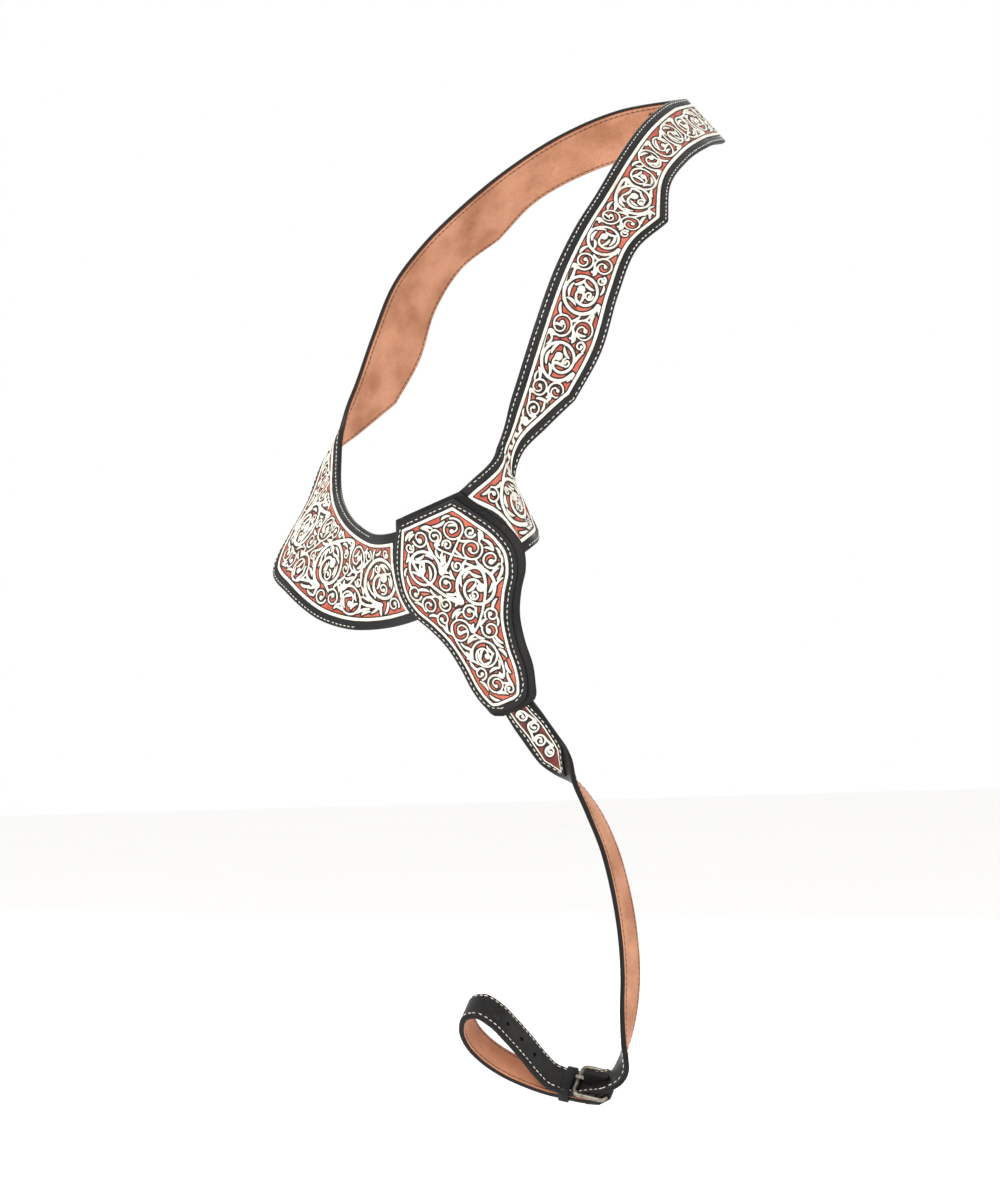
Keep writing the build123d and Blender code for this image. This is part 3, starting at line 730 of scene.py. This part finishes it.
def tooledLeather(name, style, ground, groundDark):
    material, tree, shader = newMaterial(name)
    rim, vine = attribute(tree, "rim"), attribute(tree, "vine")
    wobble = times(tree, mathNode(tree, "SUBTRACT", noise(tree, 3.0), 0.5), 0.5)
    rimW, vineW = mathNode(tree, "ADD", rim, wobble), mathNode(tree, "ADD", vine, wobble)
    b0, b1 = style["border"] + style["groove"], style["border"] + style["groove"] + style["bead"]
    patch, fine = noise(tree, 16.0, 5.0), noise(tree, 1.1, 3.0)
    stipple = cells(tree, 1.5)
    groundMix = mixColour(tree, mapped(tree, patch, 0.3, 0.7), ground, groundDark)
    groundMix = mixColour(tree, mapped(tree, stipple, 0.15, 0.5, 0.0, 0.35), groundMix, groundDark)
    ivory = mixColour(tree, mapped(tree, noise(tree, 7.0, 6.0), 0.45, 0.8, 0.0, 0.55), colours["ivory"],
                      "#C9B79C")
    inner = mapped(tree, vineW, -0.25, 0.1, 1.0, 0.0)
    edge = mapped(tree, vineW, 1.15, 1.5, 1.0, 0.0)
    colour = mixColour(tree, times(tree, edge, mapped(tree, fine, 0.25, 0.4, 0.8, 1.0)),
                       groundMix, colours["outline"])
    colour = mixColour(tree, inner, colour, ivory)
    bead = times(tree, mapped(tree, rimW, b0 - 0.15, b0 + 0.25),
                    mapped(tree, rimW, b1 - 0.25, b1 + 0.15, 1.0, 0.0))
    field = mapped(tree, rimW, b1 + style["groove"] - 0.2, b1 + style["groove"] + 0.3)
    colour = mixColour(tree, field, colours["outline"], colour)
    colour = mixColour(tree, bead, colour, ivory)
    border = mapped(tree, rimW, b0 - 0.5, b0 - 0.1, 1.0, 0.0)
    scuff = mapped(tree, noise(tree, 5.0, 8.0, distortion=1.0), 0.62, 0.8, 0.0, 0.35)
    worn = times(tree, scuff, mapped(tree, rim, 0.2, 1.6, 1.0, 0.25))
    colour = mixColour(tree, border, colour, mixColour(tree, worn, colours["black"], "#4A4643"))
    dirt = times(tree, mapped(tree, noise(tree, 26.0, 6.0), 0.5, 0.75, 0.0, 0.3),
                    mapped(tree, border, 0, 1, 1.0, 0.0))
    colour = mixColour(tree, dirt, colour, "#7A5542")
    tree.links.new(colour, shader.inputs["Base Color"])
    rough = mathNode(tree, "ADD", mapped(tree, patch, 0.2, 0.8, 0.42, 0.6), times(tree, scuff, 0.3))
    tree.links.new(rough, shader.inputs["Roughness"])
    shader.inputs["Specular IOR Level"].default_value = 0.35
    rounded = times(tree, mapped(tree, vine, -1.4, 0.3, 1.0, 0.0), field)
    groundOnly = times(tree, field, mapped(tree, vine, 0.2, 0.9))
    bump(tree, shader, [(mathNode(tree, "ADD", rounded, bead), 0.5),
                        (times(tree, stipple, groundOnly), 0.5), (cells(tree, 0.9), 0.05), (fine, 0.08)])
    return material


def plainLeather(name, colour, dark, edge, rough, size, depth, stitchLine=0.0):
    material, tree, shader = newMaterial(name)
    rim = attribute(tree, "rim")
    broad, grainy = noise(tree, 38.0, 5.0), noise(tree, 4.0, 6.0)
    tone = mixColour(tree, mapped(tree, broad, 0.3, 0.75), colour, dark)
    tone = mixColour(tree, mapped(tree, grainy, 0.5, 0.8, 0.0, 0.4), tone, dark)
    scuff = mapped(tree, noise(tree, 9.0, 9.0, distortion=1.5), 0.6, 0.78, 0.0, 0.3)
    tone = mixColour(tree, scuff, tone, "#6A615A")
    if edge:
        burnish = mapped(tree, mathNode(tree, "ADD", rim, times(tree, grainy, 0.5)), 0.5, 1.1, 1.0, 0.0)
        tone = mixColour(tree, burnish, tone, edge)
    if stitchLine:
        groove = mathNode(tree, "ABSOLUTE", mathNode(tree, "SUBTRACT", rim, stitchLine))
        tone = mixColour(tree, mapped(tree, groove, 0.3, 0.9, 0.5, 0.0), tone, edge)
    tree.links.new(tone, shader.inputs["Base Color"])
    tree.links.new(mathNode(tree, "ADD", mapped(tree, broad, 0.2, 0.8, rough - 0.06, rough + 0.08),
                            times(tree, scuff, 0.4)), shader.inputs["Roughness"])
    shader.inputs["Specular IOR Level"].default_value = 0.22
    bump(tree, shader, [(broad, 0.5), (cells(tree, size), depth), (noise(tree, 0.8, 2.0), depth * 0.5)])
    return material


def threadMaterial(name, colour, dark):
    material, tree, shader = newMaterial(name)
    tone = mixColour(tree, mapped(tree, noise(tree, 9.0, 5.0), 0.4, 0.75), colour, dark)
    tree.links.new(tone, shader.inputs["Base Color"])
    tree.links.new(mapped(tree, noise(tree, 2.0), 0.3, 0.7, 0.6, 0.85), shader.inputs["Roughness"])
    shader.inputs["Sheen Weight"].default_value = 0.3
    twist = addNode(tree, "ShaderNodeTexWave", {"wave_type": "BANDS", "bands_direction": "DIAGONAL"},
                    {"Vector": objectSpace(tree), "Scale": 900.0, "Distortion": 1.0})
    bump(tree, shader, [(twist.outputs["Fac"], 0.12)])
    return material


def nickelMaterial(name):
    material, tree, shader = newMaterial(name)
    shader.inputs["Metallic"].default_value = 1.0
    stain = mapped(tree, noise(tree, 6.0, 8.0, distortion=0.6), 0.45, 0.72)
    tone = mixColour(tree, stain, colours["nickel"], "#5D564B")
    tone = mixColour(tree, mapped(tree, noise(tree, 2.2, 6.0), 0.66, 0.8, 0.0, 0.6), tone, "#B9A67E")
    tree.links.new(tone, shader.inputs["Base Color"])
    tree.links.new(mapped(tree, noise(tree, 3.0, 8.0), 0.3, 0.75, 0.24, 0.5), shader.inputs["Roughness"])
    scratch = addNode(tree, "ShaderNodeTexNoise", {}, {"Vector": addNode(tree, "ShaderNodeMapping", {}, {
        "Vector": objectSpace(tree), "Scale": (1.0, 0.12, 1.0),
        "Rotation": (0.4, 0.2, 0.7)}).outputs[0], "Scale": 2200.0, "Detail": 2.0})
    bump(tree, shader, [(noise(tree, 2.5), 0.15), (scratch.outputs[0], 0.03)])
    return material


shieldStyle = {"border": 5.6, "groove": 0.8, "bead": 2.6, "relief": 0.9}
tabStyle = {"border": 2.9, "groove": 0.4, "bead": 1.2, "relief": 0.6}
tooled = tooledLeather("tooledLeather", collar, colours["ground"], colours["groundDark"])
tooledShield = tooledLeather("tooledShieldLeather", shieldStyle, colours["ground"], colours["groundDark"])
tooledTab = tooledLeather("tooledTabLeather", tabStyle, colours["tabGround"], "#5E2018")
tan = plainLeather("tanLeather", colours["tan"], colours["tanDark"], "#3B2418", 0.62, 1.3, 0.1, 3.6)
strapTan = plainLeather("strapTanLeather", colours["tan"], colours["tanDark"], "#141211", 0.58, 1.1,
                        0.1, 3.2)
black = plainLeather("blackLeather", colours["black"], "#24211F", "#0C0B0B", 0.42, 1.0, 0.08)
whiteThread = threadMaterial("waxedThread", colours["thread"], "#B9AD98")
darkThread = threadMaterial("darkThread", colours["darkThread"], "#20160F")
nickel = nickelMaterial("dullNickel")
stitches = stitchTree()
print("materials ready")


def dress(obj, material, body, *nodes):
    obj.data.materials.clear()
    obj.data.materials.append(material)
    if body:
        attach(obj, body)
    if nodes:
        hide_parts(*nodes)
    return obj


# neck loop
arms = {"near": {"span": (0.0, crown), "sewn": ((0.98, crown), (1.9, crown))},
        "far": {"span": (crown, roundTrip), "sewn": ((crown, 29.9), (crown, 29.8))}}
whiteRows, darkRows = [], []
for side, arm in arms.items():
    start, end = arm["span"]
    face, data = collarPanel(side + "ArmFace", start, end, 0.02, collar["faceThickness"], 0.0, True,
                             5 if side == "near" else 9)
    dress(face, tooled, "collar", side + "_arm_face")
    lining, _ = collarPanel(side + "ArmLining", start, end, 0.0, -collar["liningThickness"],
                            collar["liningInset"])
    dress(lining, tan, "collar", side + "_arm_lining")
    places, s, inner, across, width, outward = data
    slope = np.gradient(width, s)
    for k, t in ((0, np.full(len(s), thread["inset"])),
                 (1, width - thread["inset"] * np.sqrt(1 + slope ** 2))):
        first, last = arm["sewn"][k]
        pick = (places >= first) & (places <= last)
        spot = inner + across * t[:, None]
        whiteRows += stitchPath((spot + outward * (collar["faceThickness"] + 0.12))[pick], outward[pick])
        inwardT = across * (0.9 if k == 0 else -0.9)
        darkRows += stitchPath((spot + inwardT - outward * (collar["liningThickness"] + 0.05))[pick],
                               -outward[pick])
print("neck loop ready")

# shield
shieldVine = []
for vine in ([(19, 20, 10, 1), (-22, 42, 17, -1), (17, 74, 19, 1), (-13, 103, 10.5, -1), (-1, 130, 13, 1),
              (-2, 157, 8.5, -1)],
             [(28, 43, 9.5, 1), (1, 20, 6.5, -1)], [(-33, 72, 8, 1), (-17, 77, 6.5, -1)]):
    shieldVine += vineStrokes(vine)
baseLow = shield["off"]
baseHigh = baseLow + shield["baseThickness"]
faceTop = baseHigh + shield["faceThickness"]
base = shieldPanel("shieldBase", baseLow, baseHigh, shield["edge"] + shield["baseEdge"], shield["baseShift"])
dress(base, black, "collar", "shield_base")
front = shieldPanel("shieldFace", baseHigh + 0.15, faceTop, shield["edge"], 0.0, None, None, shieldVine,
                    shieldStyle)
dress(front, tooledShield, "collar", "shield_face")
back = shieldPanel("shieldLining", baseLow - 0.15, baseLow - 2.15, shield["edge"], shield["baseShift"],
                   shield["liningTop"], shield["liningBottom"])
dress(back, tan, "collar", "shield_lining")
outlineRail = Rail([(d, h, 0) for d, h in shield["profile"]])
outline = np.array([outlineRail.at(w) for w in np.linspace(0, len(shield["profile"]) - 1, 500)])
topEdge = np.stack([np.zeros(40), np.linspace(-outline[0, 1], outline[0, 1], 40)], 1)
roundPath = np.concatenate([topEdge[:-1], outline[:, :2], (outline[:, :2] * (1, -1))[::-1]])
points = shieldPoint(roundPath[:, 1], roundPath[:, 0], faceTop + 0.12)
normals = shieldOut + (roundPath[:, 1] / shield["bow"])[:, None] * shieldAcross
whiteRows += stitchPath(points, normals / np.linalg.norm(normals, axis=1)[:, None])
patch, _ = collarPanel("crownPatch", crown - 0.68, crown + 0.68, -collar["liningThickness"] - 0.15,
                       -collar["liningThickness"] - 2.15, 9.0)
dress(patch, tan, "collar", "crown_patch")
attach(sewRow("collarStitches", whiteRows, whiteThread), "collar")
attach(sewRow("liningStitches", darkRows, darkThread, 2.6, 0.8), "collar")
print("shield ready")

# girth strap
half, strapEnd = strap["width"] / 2, len(strapRows) - 1.0
cuts = [cutterBox(atBuckle(1.5, 3.0), (buckleAlong, buckleAcross, buckleOut), (21, strap["slot"], 20))]
for i in range(3):
    middle, across, grain = strapFrame(len(hangRows) + 5.6 + i * strap["holePitch"] / 22.0)
    cuts.append(cutterRod(middle, grain, strap["hole"] / 2, 12))
grainSide, (s, middle, across, grain, width) = strapPanel("girthStrapFace", -4.0, strapEnd, 0.02,
                                                          strap["face"], half)
fleshSide, _ = strapPanel("girthStrapLining", -4.0, strapEnd, 0.0, -strap["lining"], half)
tabStrokes = vineStrokes([(7, -1.0, 5.2, -1), (20, 1.2, 5.6, 1), (33, -1.2, 5.6, -1), (46, 0.8, 5.0, 1)])
tab, (_, tMiddle, tAcross, tGrain, tWidth) = strapPanel(
    "strapTab", -1.35, 2.6, strap["face"] + 0.02, strap["face"] + strap["tab"],
    half - strap["tabMargin"], 0.9, 22.0, tabStrokes, tabStyle)
sewn = []
for edge in (-1, 1):
    pick = s > strap["sewnFrom"]
    spot = middle + across * edge * (half - thread["inset"])
    sewn += stitchPath((spot + grain * (strap["face"] + 0.12))[pick], grain[pick])
    spot = tMiddle + tAcross * (edge * (tWidth / 2 - 1.5))[:, None]
    spot = spot + tGrain * (strap["face"] + strap["tab"] + 0.1)
    pick = tWidth > 8
    sewn += stitchPath(spot[pick], tGrain[pick])
strapThread = sewRow("strapStitches", sewn, whiteThread)
sewn = []
for edge in (-1, 1):
    spot = middle + across * edge * (half - thread["inset"] - 0.4) - grain * (strap["lining"] + 0.05)
    sewn += stitchPath(spot, -grain)
strapDark = sewRow("strapLiningStitches", sewn, darkThread, 2.6, 0.8)
for obj in (grainSide, fleshSide):
    cutAway(obj, cuts)
for cutter in cuts:
    bpy.data.objects.remove(cutter)
dress(grainSide, black, None, "anchor_face", "strap_face")
dress(fleshSide, strapTan, None, "anchor_lining", "strap_lining")
dress(tab, tooledTab, None, "anchor_tab", "strap_tab")
for obj in (grainSide, fleshSide, tab, strapThread, strapDark):
    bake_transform(obj)
print("girth strap ready")

# chape, keeper and buckle
inner, legHigh, legLow = buckle["wire"] / 2 + 0.2, underRun + 6.25, underRun + 0.35
turn = np.radians(np.linspace(125, -43, 22))
run = [(5, legHigh), (8.5, legHigh + 2.9)] + [(heel + inner * math.cos(a),
                                               inner * math.sin(a)) for a in turn]
run += [(11.4, -6.0), (7, legLow), (1.5, legLow - 1.2), (-4, legLow - 2.4)]
run = np.array(run)
slope = np.gradient(run, axis=0)
slope /= np.linalg.norm(slope, axis=1)[:, None]
normals = [-dy * buckleAlong + dx * buckleOut for dx, dy in slope]
path = [atBuckle(a, o) for a, o in run]
chape = sweepBand("strapChape", path, normals, [buckleAcross] * len(path), half - 2, buckle["chape"], False)
slotCut = cutterBox(atBuckle(heel + 1, 0), (buckleAlong, buckleAcross, buckleOut), (20, strap["slot"], 14))
cutAway(chape, [slotCut])
bpy.data.objects.remove(slotCut)
dress(chape, black, "girth_strap", "strap_chape")
high, low = underEnd + strapHalf + buckle["clearance"], underRun - strapHalf - buckle["clearance"]
wide, corner = half + 0.7, 2.4
ring, ringNormals = [], []
for cx, cy, a0 in ((wide - corner, high - corner, 0), (corner - wide, high - corner, 90),
                   (corner - wide, low + corner, 180), (wide - corner, low + corner, 270)):
    for a in np.radians(np.linspace(a0, a0 + 90, 7)):
        ring.append(atBuckle(-heel - buckle["keeperGap"] - buckle["keeperLength"] / 2,
                             cy + corner * math.sin(a),
                             cx + corner * math.cos(a)))
        ringNormals.append(math.cos(a) * buckleAcross + math.sin(a) * buckleOut)
keeper = sweepBand("strapKeeper", ring, ringNormals, [buckleAlong] * len(ring), buckle["keeperLength"] / 2,
                   buckle["keeperThickness"], True)
dress(keeper, black, "keeper", "strap_keeper")
for name in ("buckle_frame", "buckle_tongue"):
    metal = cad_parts[name]
    metal.data.materials.clear()
    metal.data.materials.append(nickel)
print("buckle ready")

# stage, light and camera
bpy.ops.mesh.primitive_plane_add(size=14, location=(0, 0, -0.95))
floor = bpy.context.object
floor.name = "floor"
paper, tree, shader = newMaterial("paleFloor")
tree.links.new(mixColour(tree, noise(tree, 400.0), "#FBFAF9", "#F7F6F5"), shader.inputs["Base Color"])
shader.inputs["Roughness"].default_value = 0.9
floor.data.materials.append(paper)
world = bpy.data.worlds.new("studio")
world.use_nodes = True
bpy.context.scene.world = world
world.node_tree.nodes["Background"].inputs[0].default_value = (1.0, 1.0, 1.0, 1)
world.node_tree.nodes["Background"].inputs[1].default_value = 1.0
target = Vector((0.018, -0.235, -0.433))


def areaLight(name, side, up, out, size, power):
    light = bpy.data.lights.new(name, "AREA")
    light.size, light.energy = size, power
    obj = bpy.data.objects.new(name, light)
    obj.location = target + Vector(laid(side, up, out))
    obj.rotation_euler = (target - obj.location).to_track_quat("-Z", "Y").to_euler()
    linked(obj)


areaLight("keyLight", -1.6, 1.8, 2.4, 1.3, 70)
areaLight("fillLight", 2.2, 0.5, 2.2, 2.2, 20)
areaLight("backLight", 0.4, 1.6, -2.6, 1.6, 30)
camera = bpy.data.cameras.new("camera")
camera.sensor_fit, camera.sensor_width, camera.lens = "HORIZONTAL", 36.0, 184.1
shot = bpy.data.objects.new("camera", camera)
shot.location = target + Vector(laid(0, 0, 4.5))
shot.rotation_euler = (target - shot.location).to_track_quat("-Z", "Y").to_euler()
linked(shot)
bpy.context.scene.camera = shot
bpy.context.scene.view_settings.view_transform = "Standard"
print("stage ready")
